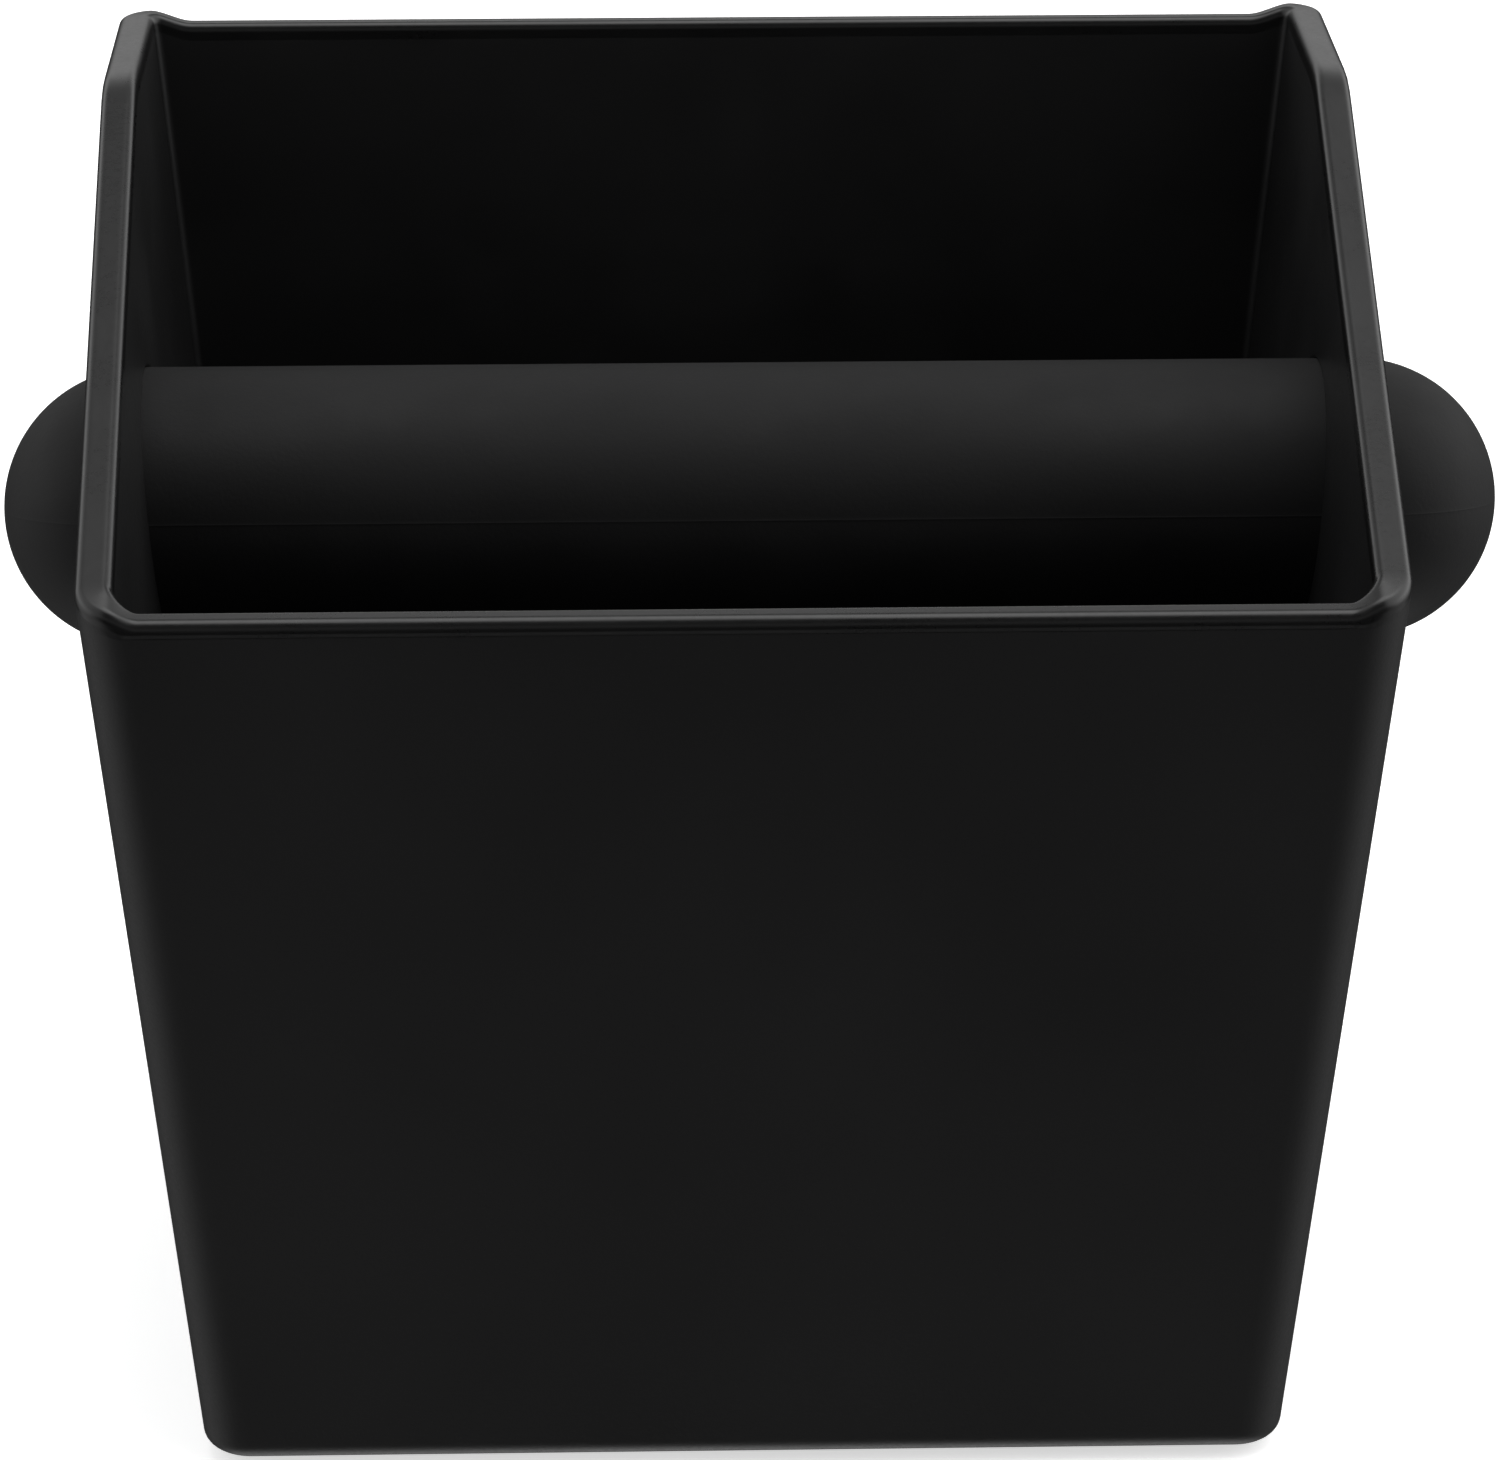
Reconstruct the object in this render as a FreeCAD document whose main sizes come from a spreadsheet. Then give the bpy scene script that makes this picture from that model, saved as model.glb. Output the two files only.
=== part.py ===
import FreeCAD, Part
import math
import os

import Sketcher

# Espresso knock box: a tapered plastic tub with a low front and a high back, a thick rubber-covered bar that
# slides and turns in two round holes in the side walls, and four rubber feet under the base.
#
# Frame: X runs along the bar, +Y is the high back, +Z is up. The origin lies on the table under the
# middle of the tub. Lengths are millimetres and angles are degrees.

DIMENSIONS = (
    # the tub
    ("base_width", 117.5, "outside of the tub along X, at its underside"),
    ("base_depth", 101.5, "outside of the tub along Y, at its underside"),
    ("draft", 5.2, "how far each wall leans outwards"),
    ("front_corner", 5.5, "outside radius of the two upright corners at the front"),
    ("rear_corner", 4.2, "outside radius of the two upright corners at the back"),
    ("front_inner_corner", 2.6, "inside radius of the two upright corners at the front"),
    ("rear_inner_corner", 1.0, "inside radius of the two upright corners at the back"),
    ("side_wall", 3.95, "thickness of the left and right walls along X"),
    ("end_wall", 3.2, "thickness of the front and back walls along Y"),
    ("floor", 3.2, "thickness of the floor"),
    ("underside_radius", 2.0, "rounding between the walls and the underside"),
    # the rim
    ("rear_level", 132.75, "height of the level stretch of the side rims above the table"),
    ("level_end", 31.8, "Y at which the side rims start to fall"),
    ("rim_fall", 18.0, "slope of the side rims"),
    ("bend_radius", 20.0, "rounding where the side rims start to fall"),
    ("front_level", 102.0, "height of the front rim above the table"),
    ("front_half", 61.1, "half width of the level stretch of the front rim"),
    ("front_ramp", 50, "slope of the ramps from the front rim up to the side rims"),
    ("front_radius", 1.0, "rounding of the lower ends of those ramps"),
    ("lip_height", 1.5, "upright band along the top of the front wall"),
    ("back_drop", 1.25, "how far the back rim lies below the side rims"),
    ("drop_start", 66.0, "half width between the tops of the two ramps down to the back rim"),
    ("drop_run", 4.0, "length of each ramp down to the back rim"),
    ("drop_radius", 4.0, "rounding of the ramps' ends"),
    ("rim_radius", 0.4, "rounding of the rim's edges"),
    # the bar
    ("bar_radius", 15.5, "radius of the rubber"),
    ("bar_length", 165.0, "length of the rubber over both domes"),
    ("bar_level", 92.8, "height of the bar's axis above the table"),
    ("bar_shift", 2.0, "how far the bar stands to the right of the middle"),
    ("hole_clearance", 0.06, "radial gap between the rubber and the holes in the tub"),
    ("core_radius", 6.0, "radius of the steel rod"),
    ("core_length", 132.0, "length of the steel rod"),
    ("core_clearance", 0.05, "radial gap between the rod and the rubber"),
    ("core_end_gap", 0.3, "gap between each end of the rod and the rubber"),
    # the feet
    ("foot_radius", 7.0, "radius of a rubber foot"),
    ("foot_clearance", 0.1, "radial gap between a foot and its pocket"),
    ("foot_stand", 1.0, "how far a foot holds the tub above the table"),
    ("foot_pocket", 1.2, "depth of a foot's pocket"),
    ("foot_edge", 0.4, "rounding of a foot's lower edge"),
    ("foot_x", 42.0, "distance of a foot's centre from the middle along X"),
    ("foot_y", 34.0, "distance of a foot's centre from the middle along Y"),
)

# Expressions that several sketches share. lean is the outward run of a wall for each millimetre of height.
LEAN = "tan(Dimensions.draft * 1 deg)"
HALF_WIDTH = "(Dimensions.base_width / 2 + (%s - Dimensions.foot_stand) * " + LEAN + ")"
HALF_DEPTH = "(Dimensions.base_depth / 2 + (%s - Dimensions.foot_stand) * " + LEAN + ")"
LIP_LEVEL = "(Dimensions.front_level - Dimensions.lip_height)"
LIP_FACE = HALF_DEPTH % LIP_LEVEL  # distance of the upright lip from the middle
SLOPE_LEVEL = "(Dimensions.rear_level - (Dimensions.level_end + %s) * tan(Dimensions.rim_fall * 1 deg))"
CLEAR = 10.0  # how far a cutting outline reaches past the tub's top and the middle of its walls
FAR = 30.0  # how far one reaches past the front wall, which leans out
STANDOFF = 1.0  # distance between the front wall's inside and the sketch of the front rim
SAME = 0.01  # positions and volumes closer than this are taken as equal
TOP_FACE = 0.4  # a face belongs to the top of the rim when the Z of its normal is larger

doc = FreeCAD.newDocument("knock_box")


def make_sheet():
    sheet = doc.addObject("Spreadsheet::Sheet", "Dimensions")
    for row, (alias, number, meaning) in enumerate(DIMENSIONS, start=1):
        sheet.set("A%d" % row, alias)
        sheet.set("B%d" % row, str(number))
        sheet.set("C%d" % row, meaning)
        sheet.setAlias("B%d" % row, alias)
    doc.recompute()
    return sheet


sheet = make_sheet()


def size(expression):
    """The number that an expression of the sheet's cells gives."""
    found = sheet.evalExpression(expression)
    return float(getattr(found, "Value", found))


# ---------------------------------------------------------------- sketches


def make_sketch(body, name, plane, offset="0"):
    """A sketch on one of the body's own origin planes, moved along the plane's normal by offset."""
    sketch = body.newObject("Sketcher::SketchObject", name)
    for feature in body.Origin.OriginFeatures:
        if feature.Role == plane:
            sketch.AttachmentSupport = [(feature, "")]
    sketch.MapMode = "FlatFace"
    sketch.setExpression("AttachmentOffset.Base.z", offset)
    return sketch


def bind(sketch, kind, target, expression):
    """One constraint whose value follows an expression. target is the constraint's own list of geometry."""
    index = sketch.addConstraint(Sketcher.Constraint(kind, *target, size(expression)))
    name = "%s_%d" % (kind.lower(), index)
    sketch.renameConstraint(index, name)
    sketch.setExpression("Constraints." + name, expression)


def bind_point(sketch, geometry, end, x, y):
    """Hold one end of a line, or the centre of a circle, at x, y from the sketch's origin."""
    bind(sketch, "DistanceX", (-1, 1, geometry, end), x)
    bind(sketch, "DistanceY", (-1, 1, geometry, end), y)


def draw_outline(sketch, corners):
    """A closed outline of straight sides. corners holds (x, y) expressions in order."""
    points = [FreeCAD.Vector(size(x), size(y), 0) for x, y in corners]
    count = len(points)
    for index in range(count):
        sketch.addGeometry(Part.LineSegment(points[index], points[(index + 1) % count]))
    for index in range(count):
        sketch.addConstraint(Sketcher.Constraint("Coincident", index, 2, (index + 1) % count, 1))
    for index, (x, y) in enumerate(corners):
        bind_point(sketch, index, 1, x, y)


def draw_circle(sketch, x, y, radius):
    centre = FreeCAD.Vector(size(x), size(y), 0)
    index = sketch.addGeometry(Part.Circle(centre, FreeCAD.Vector(0, 0, 1), size(radius)))
    bind_point(sketch, index, 3, x, y)
    bind(sketch, "Radius", (index,), radius)


def draw_rounded_rectangle(sketch, half_x, half_y, front_radius, rear_radius):
    """Four sides and four tangent arcs, centred on the sketch's origin."""
    wide, deep = size(half_x), size(half_y)
    front, rear = size(front_radius), size(rear_radius)
    sides = (
        ((front - wide, -deep), (wide - front, -deep)),
        ((wide, front - deep), (wide, deep - rear)),
        ((wide - rear, deep), (rear - wide, deep)),
        ((-wide, deep - rear), (-wide, front - deep)),
    )
    for start, stop in sides:
        sketch.addGeometry(Part.LineSegment(FreeCAD.Vector(*start, 0), FreeCAD.Vector(*stop, 0)))
    corners = ((1, -1, front), (1, 1, rear), (-1, 1, rear), (-1, -1, front))
    for quarter, (side_x, side_y, radius) in enumerate(corners):
        centre = FreeCAD.Vector(side_x * (wide - radius), side_y * (deep - radius), 0)
        first = (quarter - 1) * math.pi / 2
        circle = Part.Circle(centre, FreeCAD.Vector(0, 0, 1), radius)
        sketch.addGeometry(Part.ArcOfCircle(circle, first, first + math.pi / 2))
    for side in range(4):
        arc = 4 + side
        sketch.addConstraint(Sketcher.Constraint("Tangent", side, 2, arc, 1))
        sketch.addConstraint(Sketcher.Constraint("Tangent", arc, 2, (side + 1) % 4, 1))
    for side in (0, 2):
        sketch.addConstraint(Sketcher.Constraint("Horizontal", side))
    for side in (1, 3):
        sketch.addConstraint(Sketcher.Constraint("Vertical", side))
    sketch.addConstraint(Sketcher.Constraint("Equal", 4, 7))
    sketch.addConstraint(Sketcher.Constraint("Equal", 5, 6))
    bind(sketch, "DistanceY", (-1, 1, 0, 1), "-" + half_y)
    bind(sketch, "DistanceX", (-1, 1, 1, 1), half_x)
    bind(sketch, "DistanceY", (-1, 1, 2, 1), half_y)
    bind(sketch, "DistanceX", (-1, 1, 3, 1), "-" + half_x)
    bind(sketch, "Radius", (4,), front_radius)
    bind(sketch, "Radius", (5,), rear_radius)


# ---------------------------------------------------------------- features


def add_feature(body, kind, name, profile=None):
    feature = body.newObject("PartDesign::" + kind, name)
    if profile is not None:
        feature.Profile = profile
        profile.Visibility = False
    return feature


def cut_must_remove(feature, before):
    """A pocket that points away from the solid removes nothing and reports no error."""
    doc.recompute()
    if feature.Shape.Volume >= before - SAME:
        raise RuntimeError(feature.Name + " removed nothing")


def add_pocket(body, name, sketch, through_both_ways=False, depth=None, reverse=False):
    before = body.Shape.Volume
    pocket = add_feature(body, "Pocket", name, sketch)
    if depth is None:
        pocket.Type = "ThroughAll"
    else:
        pocket.Type = "Length"
        pocket.setExpression("Length", depth)
    pocket.Midplane = through_both_ways
    pocket.Reversed = reverse
    cut_must_remove(pocket, before)
    return pocket


def add_loft(body, kind, name, first, last):
    loft = add_feature(body, kind, name, first)
    loft.Sections = [last]
    loft.Ruled = True
    last.Visibility = False
    doc.recompute()
    return loft


def edges_where(body, wanted):
    """Names of the body's edges for which wanted(edge) holds."""
    doc.recompute()
    found = []
    for index, edge in enumerate(body.Tip.Shape.Edges, start=1):
        if wanted(edge):
            found.append("Edge%d" % index)
    return found


def add_fillet(body, name, wanted, radius):
    names = edges_where(body, wanted)
    if not names:
        raise RuntimeError(name + " found no edge")
    base = body.Tip
    fillet = add_feature(body, "Fillet", name)
    fillet.Base = (base, names)
    fillet.setExpression("Radius", radius)
    doc.recompute()
    if fillet.Shape.isNull() or not fillet.Shape.isValid():
        raise RuntimeError(name + " made no valid shape")
    return fillet


def make_body(name):
    body = doc.addObject("PartDesign::Body", name)
    body.Label = name
    return body


# ---------------------------------------------------------------- the tub


def tub_outside(body):
    """The drafted outside, from the underside up to the level of the rear rims."""
    low = make_sketch(body, "outside_low", "XY_Plane", "Dimensions.foot_stand")
    high = make_sketch(body, "outside_high", "XY_Plane", "Dimensions.rear_level")
    for sketch, level in ((low, "Dimensions.foot_stand"), (high, "Dimensions.rear_level")):
        half_x, half_y = HALF_WIDTH % level, HALF_DEPTH % level
        draw_rounded_rectangle(sketch, half_x, half_y, "Dimensions.front_corner", "Dimensions.rear_corner")
    add_loft(body, "AdditiveLoft", "outside", low, high)


def underside_rounding(body):
    level = size("Dimensions.foot_stand")
    add_fillet(
        body,
        "underside_rounding",
        lambda edge: edge.BoundBox.ZMax < level + SAME,
        "Dimensions.underside_radius",
    )


def rim_profile(body):
    """Cut the top to its side outline: level, then falling to the front."""
    top = "(Dimensions.rear_level + %g)" % CLEAR
    outside = "(Dimensions.base_depth / 2 + %g)" % FAR
    sketch = make_sketch(body, "rim_outline", "YZ_Plane")
    corners = (
        ("Dimensions.level_end", "Dimensions.rear_level"),
        ("-" + outside, SLOPE_LEVEL % outside),
        ("-" + outside, top),
        ("Dimensions.level_end", top),
    )
    draw_outline(sketch, corners)
    add_pocket(body, "rim_cut", sketch, through_both_ways=True)
    places = (("Y", size("Dimensions.level_end")),)
    add_fillet(body, "bend_rounding", across_rim_at(places), "Dimensions.bend_radius")


def cavity(body):
    """The drafted hollow, open at the top."""
    floor_level = "(Dimensions.foot_stand + Dimensions.floor)"
    mouth_level = "(Dimensions.rear_level + %g)" % CLEAR
    low = make_sketch(body, "hollow_low", "XY_Plane", floor_level)
    high = make_sketch(body, "hollow_high", "XY_Plane", mouth_level)
    for sketch, level in ((low, floor_level), (high, mouth_level)):
        half_x = "(%s - Dimensions.side_wall)" % (HALF_WIDTH % level)
        half_y = "(%s - Dimensions.end_wall)" % (HALF_DEPTH % level)
        corners = "Dimensions.front_inner_corner", "Dimensions.rear_inner_corner"
        draw_rounded_rectangle(sketch, half_x, half_y, *corners)
    before = body.Shape.Volume
    cut_must_remove(add_loft(body, "SubtractiveLoft", "hollow", low, high), before)


def end_rim_cut(body, name, offset, corners, reverse):
    """Cut the front or the back rim down to an outline seen from the front."""
    sketch = make_sketch(body, name + "_outline", "XZ_Plane", offset)
    draw_outline(sketch, corners)
    add_pocket(body, name, sketch, reverse=reverse)


def across_rim_at(places):
    """A test for edges that cross the rim at one of the given (axis, position) places."""

    def test(edge):
        box = edge.BoundBox
        for axis, position in places:
            low, high = getattr(box, axis + "Min"), getattr(box, axis + "Max")
            if abs(low - position) < SAME and abs(high - position) < SAME and box.ZMax - box.ZMin < SAME:
                return True
        return False

    return test


def back_rim(body):
    """Lower the back rim between the two rear corners, with a rounded ramp at each end."""
    top = "(Dimensions.rear_level + %g)" % CLEAR
    low = "Dimensions.rear_level - Dimensions.back_drop"
    start = "Dimensions.drop_start"
    ramp_end = "(Dimensions.drop_start - Dimensions.drop_run)"
    corners = (
        ("-" + start, "Dimensions.rear_level"),
        ("-" + ramp_end, low),
        (ramp_end, low),
        (start, "Dimensions.rear_level"),
        (start, top),
        ("-" + start, top),
    )
    end_rim_cut(body, "back_rim_cut", "-Dimensions.level_end - %g" % CLEAR, corners, reverse=False)
    places = []
    for side in 1, -1:
        places += [("X", side * size(start)), ("X", side * size(ramp_end))]
    add_fillet(body, "ramp_rounding", across_rim_at(places), "Dimensions.drop_radius")


def front_rim(body):
    """Lower the front rim between the front corners, with a ramp up to the side rims at each end."""
    inside_face = "(%s - Dimensions.end_wall)" % LIP_FACE
    top = "(Dimensions.rear_level + %g)" % CLEAR
    start_level = SLOPE_LEVEL % inside_face
    ramp_run = "(%s - Dimensions.front_level) / tan(Dimensions.front_ramp * 1 deg)" % start_level
    start = "(Dimensions.front_half + %s)" % ramp_run
    corners = (
        ("-" + start, start_level),
        ("-Dimensions.front_half", "Dimensions.front_level"),
        ("Dimensions.front_half", "Dimensions.front_level"),
        (start, start_level),
        (start, top),
        ("-" + start, top),
    )
    end_rim_cut(body, "front_rim_cut", "%s - %g" % (inside_face, STANDOFF), corners, reverse=True)
    places = (("X", size("Dimensions.front_half")), ("X", -size("Dimensions.front_half")))
    add_fillet(body, "front_ramp_rounding", across_rim_at(places), "Dimensions.front_radius")


def rim_rounding(body):
    """Round every edge between the top of the rim and a wall."""
    lowest = size("Dimensions.front_level") - SAME

    def on_rim(edge):
        if edge.BoundBox.ZMin < lowest:
            return False
        faces = body.Tip.Shape.ancestorsOfType(edge, Part.Face)
        upward = [abs(face.normalAt(*middle_of(face)).z) > TOP_FACE for face in faces]
        return sum(upward) == 1

    add_fillet(body, "rim_rounding", on_rim, "Dimensions.rim_radius")


def middle_of(face):
    u_low, u_high, v_low, v_high = face.ParameterRange
    return (u_low + u_high) / 2, (v_low + v_high) / 2


def front_lip(body):
    """Stand the top of the front wall upright instead of leaning."""
    top = "(Dimensions.rear_level + %g)" % CLEAR
    outside = "(Dimensions.base_depth / 2 + %g)" % FAR
    sketch = make_sketch(body, "lip_outline", "YZ_Plane")
    corners = (
        ("-" + LIP_FACE, LIP_LEVEL),
        ("-" + outside, LIP_LEVEL),
        ("-" + outside, top),
        ("-" + LIP_FACE, top),
    )
    draw_outline(sketch, corners)
    add_pocket(body, "front_lip", sketch, through_both_ways=True)


def bar_holes(body):
    sketch = make_sketch(body, "bar_hole_outline", "YZ_Plane")
    draw_circle(sketch, "0", "Dimensions.bar_level", "Dimensions.bar_radius + Dimensions.hole_clearance")
    add_pocket(body, "bar_holes", sketch, through_both_ways=True)


def foot_pockets(body):
    sketch = make_sketch(body, "foot_pocket_outline", "XY_Plane", "Dimensions.foot_stand")
    for side in "-", "":
        for end in "-", "":
            draw_circle(
                sketch,
                side + "Dimensions.foot_x",
                end + "Dimensions.foot_y",
                "Dimensions.foot_radius + Dimensions.foot_clearance",
            )
    add_pocket(body, "foot_pockets", sketch, depth="Dimensions.foot_pocket", reverse=True)


def make_bin_shell():
    body = make_body("bin_shell")
    tub_outside(body)
    rim_profile(body)
    cavity(body)
    back_rim(body)
    front_rim(body)
    underside_rounding(body)
    rim_rounding(body)
    front_lip(body)
    bar_holes(body)
    foot_pockets(body)
    return body


# ---------------------------------------------------------------- the bar and the feet


def place(body, x, y, z):
    for axis, expression in zip("xyz", (x, y, z)):
        body.setExpression("Placement.Base." + axis, expression)


def revolve(body, name, sketch, axis):
    turn = add_feature(body, "Revolution", name, sketch)
    turn.ReferenceAxis = (sketch, [axis])
    turn.Angle = 360
    doc.recompute()
    return turn


def make_bar_sleeve():
    """The rubber: a barrel with a half-round dome at each end, moulded round a closed space for the rod."""
    body = make_body("bar_sleeve")
    sketch = make_sketch(body, "sleeve_outline", "XZ_Plane")
    end = "Dimensions.bar_length / 2"
    barrel = "(Dimensions.bar_length / 2 - Dimensions.bar_radius)"
    outer = "Dimensions.bar_radius"
    inner = "(Dimensions.core_radius + Dimensions.core_clearance)"
    space = "(Dimensions.core_length / 2 + Dimensions.core_end_gap)"
    centre = FreeCAD.Vector(size(barrel), 0, 0)
    lines = (
        ((barrel, outer), ("-" + barrel, outer)),
        (("-" + end, "0"), ("-" + space, "0")),
        (("-" + space, "0"), ("-" + space, inner)),
        (("-" + space, inner), (space, inner)),
        ((space, inner), (space, "0")),
        ((space, "0"), (end, "0")),
    )
    for start, stop in lines:
        first = FreeCAD.Vector(size(start[0]), size(start[1]), 0)
        last = FreeCAD.Vector(size(stop[0]), size(stop[1]), 0)
        sketch.addGeometry(Part.LineSegment(first, last))
    right = sketch.addGeometry(
        Part.ArcOfCircle(Part.Circle(centre, FreeCAD.Vector(0, 0, 1), size(outer)), 0, math.pi / 2)
    )
    left = sketch.addGeometry(
        Part.ArcOfCircle(Part.Circle(-centre, FreeCAD.Vector(0, 0, 1), size(outer)), math.pi / 2, math.pi)
    )
    joints = ((5, 2, right, 1), (right, 2, 0, 1), (0, 2, left, 1), (left, 2, 1, 1))
    joints += tuple((index, 2, index + 1, 1) for index in (1, 2, 3, 4))
    for joint in joints:
        sketch.addConstraint(Sketcher.Constraint("Coincident", *joint))
    for index in range(1, 6):
        bind_point(sketch, index, 1, *lines[index][0])
    bind_point(sketch, 5, 2, *lines[5][1])
    bind_point(sketch, right, 3, barrel, "0")
    bind_point(sketch, left, 3, "-" + barrel, "0")
    bind(sketch, "DistanceX", (-1, 1, 0, 1), barrel)
    bind(sketch, "DistanceX", (-1, 1, 0, 2), "-" + barrel)
    revolve(body, "sleeve", sketch, "H_Axis")
    place(body, "Dimensions.bar_shift", "0", "Dimensions.bar_level")
    return body


def make_bar_core():
    body = make_body("bar_core")
    sketch = make_sketch(body, "core_outline", "XZ_Plane")
    end = "Dimensions.core_length / 2"
    corners = (
        ("-" + end, "0"),
        (end, "0"),
        (end, "Dimensions.core_radius"),
        ("-" + end, "Dimensions.core_radius"),
    )
    draw_outline(sketch, corners)
    revolve(body, "core", sketch, "H_Axis")
    place(body, "Dimensions.bar_shift", "0", "Dimensions.bar_level")
    return body


def make_foot(name, x, y):
    body = make_body(name)
    sketch = make_sketch(body, name + "_outline", "XZ_Plane")
    height = "Dimensions.foot_stand + Dimensions.foot_pocket"
    corners = (
        ("0", "0"),
        ("Dimensions.foot_radius", "0"),
        ("Dimensions.foot_radius", height),
        ("0", height),
    )
    draw_outline(sketch, corners)
    revolve(body, name + "_disc", sketch, "V_Axis")
    add_fillet(body, name + "_edge", lambda edge: edge.BoundBox.ZMax < SAME, "Dimensions.foot_edge")
    place(body, x, y, "0")
    return body


def make_feet():
    feet = []
    for end_name, y in (("front", "-Dimensions.foot_y"), ("rear", "Dimensions.foot_y")):
        for side_name, x in (("left", "-Dimensions.foot_x"), ("right", "Dimensions.foot_x")):
            feet.append(make_foot("foot_%s_%s" % (end_name, side_name), x, y))
    return feet


# ---------------------------------------------------------------- checks and export


def check(sub_parts):
    doc.recompute()
    for item in doc.Objects:
        if "Invalid" in item.State or "Error" in item.State:
            raise RuntimeError("%s is %s" % (item.Name, item.State))
    for body in sub_parts:
        if body.Shape.isNull() or not body.Shape.isValid() or len(body.Shape.Solids) != 1:
            raise RuntimeError(body.Label + " is not one valid solid")


def main():
    sub_parts = [make_bin_shell(), make_bar_sleeve(), make_bar_core()] + make_feet()
    check(sub_parts)
    os.makedirs("parts", exist_ok=True)
    for body in sub_parts:
        body.Shape.exportStep(os.path.join("parts", body.Label + ".step"))
        box = body.Shape.optimalBoundingBox()
        print("%-18s volume %9.1f  x %7.2f %7.2f  y %7.2f %7.2f  z %7.2f %7.2f" % (
            body.Label, body.Shape.Volume, box.XMin, box.XMax, box.YMin, box.YMax, box.ZMin, box.ZMax))


main()
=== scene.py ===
import math

import bmesh
import bpy
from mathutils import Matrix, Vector


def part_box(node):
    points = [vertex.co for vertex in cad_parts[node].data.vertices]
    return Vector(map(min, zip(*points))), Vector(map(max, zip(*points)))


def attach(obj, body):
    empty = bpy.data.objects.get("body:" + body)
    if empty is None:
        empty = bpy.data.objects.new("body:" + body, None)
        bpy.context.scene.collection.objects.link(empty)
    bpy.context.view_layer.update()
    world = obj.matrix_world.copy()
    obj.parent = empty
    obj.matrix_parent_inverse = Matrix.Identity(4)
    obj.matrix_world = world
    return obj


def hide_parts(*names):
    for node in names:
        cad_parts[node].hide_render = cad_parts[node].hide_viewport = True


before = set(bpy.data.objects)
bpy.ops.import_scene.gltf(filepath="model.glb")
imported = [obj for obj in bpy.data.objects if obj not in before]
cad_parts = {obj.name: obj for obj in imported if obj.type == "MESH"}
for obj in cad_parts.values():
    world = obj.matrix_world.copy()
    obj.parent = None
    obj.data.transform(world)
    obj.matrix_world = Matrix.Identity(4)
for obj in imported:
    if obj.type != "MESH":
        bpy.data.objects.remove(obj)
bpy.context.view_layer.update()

# An espresso knock box: a black tub moulded in one piece, a rubber bar through two holes in its side walls
# and four rubber feet. The frame gives the sizes of the solids. Lengths below are millimetres, turned into
# metres as each mesh is made. X runs along the bar, +Y is the high back and Z is up.

MM = 0.001


# ---------------------------------------------------------------- sizes


def box_mm(node):
    low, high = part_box(node)
    return low / MM, high / MM


shell_low, shell_high = box_mm("bin_shell")
sleeve_low, sleeve_high = box_mm("bar_sleeve")
foot_low, foot_high = box_mm("foot_front_right")

# the tub's walls
LEAN = math.tan(math.radians(5.2))  # outward run of a wall for each millimetre of height
FRONT_CORNER, REAR_CORNER = 5.5, 4.2  # outside radii of the upright corners
FRONT_INNER_CORNER, REAR_INNER_CORNER = 2.6, 1.0
SIDE_WALL = 3.95
END_WALL = 3.2
UNDERSIDE = shell_low.z
FLOOR_LEVEL = UNDERSIDE + 3.2
UNDERSIDE_ROUND = 2.0
FLOOR_ROUND = 0.8

# the rim
REAR_LEVEL = shell_high.z - 0.12  # middle of the side rims, whose inner edge stands a little higher
CAD_EDGE = 0.4  # the solid's own rim rounding: the solid is widest this far below its top
LEVEL_END = 31.8  # Y at which the side rims start to fall
FALL = math.tan(math.radians(18.0))
BEND_HALF = 3.0  # half the length of the bend at LEVEL_END
FRONT_LEVEL = 102.0
RAMP_TOP = 65.0  # distance from the middle at which each ramp down to the front rim starts
RAMP_FOOT = 61.4
BACK_DROP = 1.25  # the back rim lies this far below the side rims
DROP_START = 67.4  # distance from the middle at which each ramp to the back rim starts
DROP_STOP = 62.2
RIM_ROUND = 1.0  # rounding of the rim's two edges
FRONT_OUTER_ROUND = 1.15
FRONT_INNER_ROUND = 0.7
LIP_DEPTH = 1.6  # the front's upright band reaches this far below the rim
LEDGE = 0.18  # width and height of the slanted parting ledge under that band
LEDGE_ROWS = (0.4, 0.08, 0.0, -LEDGE, -LEDGE - 0.06)  # rows round the ledge, measured down from its foot
HOLD = 0.12  # distance from a rounding to the row that keeps the wall beside it flat
RAMP_CORNER = math.radians(20)  # part of each front corner over which the ramp runs out

# the bar
BAR_LEVEL = (sleeve_low.z + sleeve_high.z) / 2
BAR_RADIUS = (sleeve_high.z - sleeve_low.z) / 2
BAR_MIDDLE = (sleeve_low.x + sleeve_high.x) / 2
BAR_HALF = (sleeve_high.x - sleeve_low.x) / 2
HOLE_RADIUS = BAR_RADIUS + 0.078  # wide enough for the flats of its edge to clear the bar's ridge
HOLE_EDGE = 0.35  # rounding of the holes' edges
HOLE_STEPS = 5  # steps of that rounding
HOLE_SUPPORTS = (1.2, 0.55)  # flat rings of wall, this far outside the hole
PATCH = 18.0  # half side of the square of wall that is built around a hole
SEAM_TILT = math.radians(12.5)  # the bar's parting plane, front side up
SEAM_HEIGHT = 0.04
SEAM_WIDTH = 0.16
SEAM_LEAST_RADIUS = 1.2  # rings smaller than this share their angles, so that the extra ones don't cross
SEAM_START, SEAM_RISE = 2.0, 6.0  # radius at which the ridge begins on a dome, and how much later it is full

# the feet
FOOT_RADIUS = (foot_high.x - foot_low.x) / 2
FOOT_X = (foot_high.x + foot_low.x) / 2
FOOT_Y = -(foot_high.y + foot_low.y) / 2
POCKET_TOP = foot_high.z
POCKET_GAP = 0.1


def half_width(z):
    """Outside half width of the tub at a height."""
    return shell_high.x + (z - shell_high.z + CAD_EDGE) * LEAN


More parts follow.
